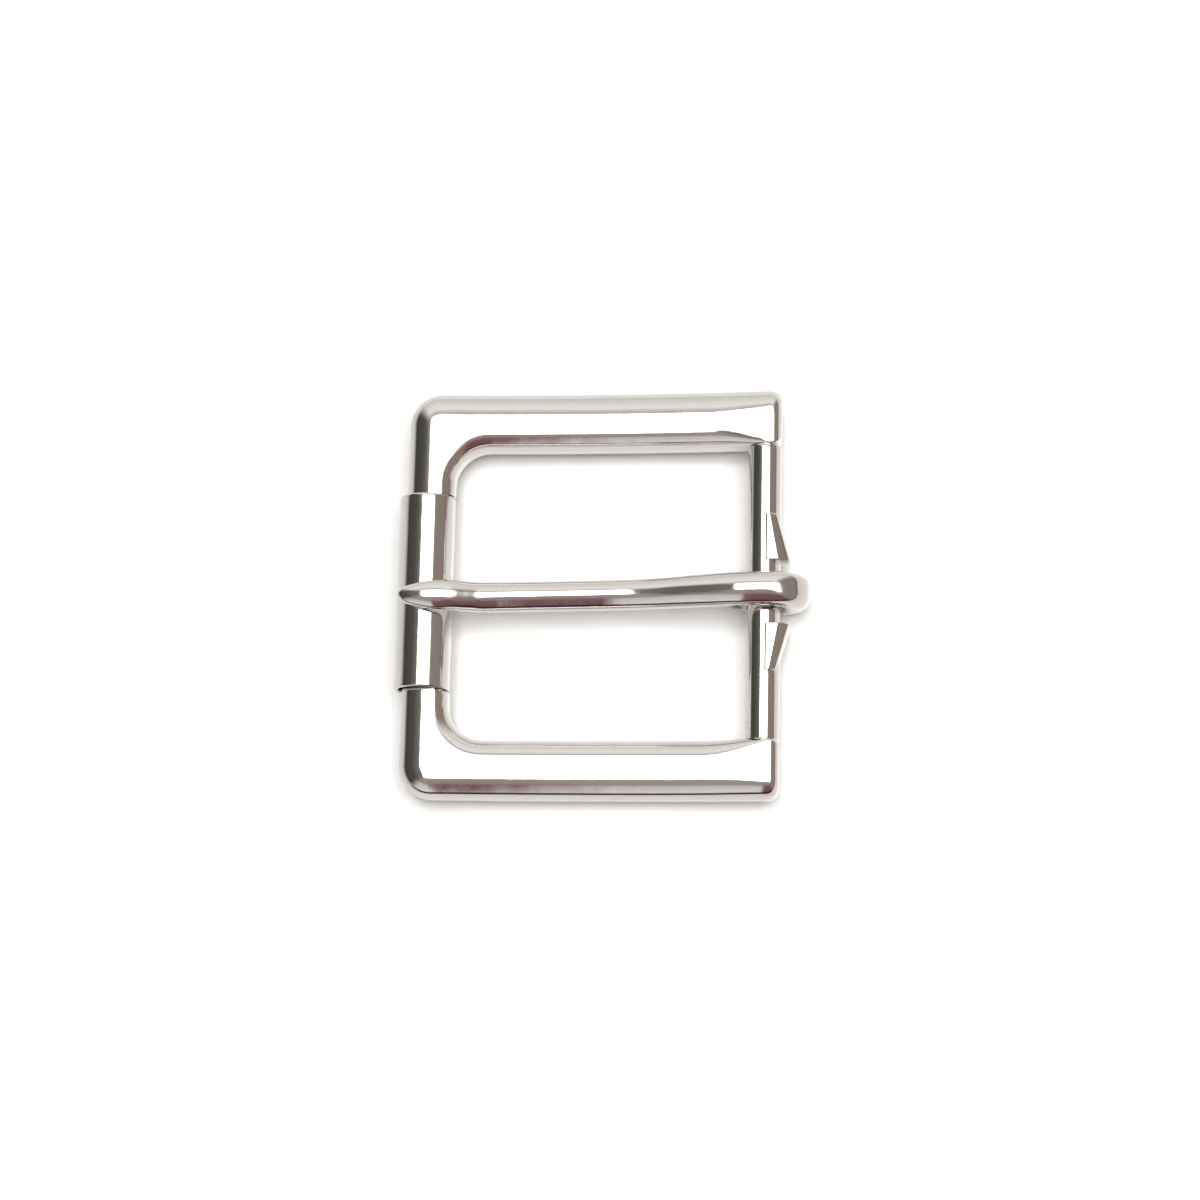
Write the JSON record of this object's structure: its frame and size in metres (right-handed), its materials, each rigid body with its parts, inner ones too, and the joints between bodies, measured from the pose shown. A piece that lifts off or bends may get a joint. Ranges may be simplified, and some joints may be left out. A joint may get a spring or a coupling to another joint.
{
  "type": "belt buckle",
  "caption": "Square roller buckle for a 35 mm belt: cast frame with a round heel bar, a loose tube roller on the front bar and a hinged prong.",
  "frame": {"origin": "the middle of the whole buckle's bounding box, on the surface that it lies on with its front up", "axes": "+Z is the way the front faces, +X runs from the roller to the heel bar, +Y is across the strap"},
  "size_m": [0.0504, 0.0504, 0.0095],
  "materials": {
    "frame": "bright polished nickel plate on a zinc alloy casting",
    "roller": "bright polished nickel plate on rolled sheet steel",
    "prong": "bright polished nickel plate"
  },
  "bodies": {
    "frame": {"frame": "frame"},
    "roller": {"roller": "roller"},
    "prong": {"prong": "prong"}
  },
  "joints": [
    {"name": "prong_hinge", "type": "hinge", "parent": "frame", "child": "prong", "pos_m": [0.01949, -0.0002, 0.00414], "axis": [0, 1, 0], "range_deg": [0, 340]},
    {"name": "roller_spin", "type": "hinge", "parent": "frame", "child": "roller", "pos_m": [-0.02181, 0, 0.00421], "axis": [0, 1, 0], "continuous": true}
  ]
}
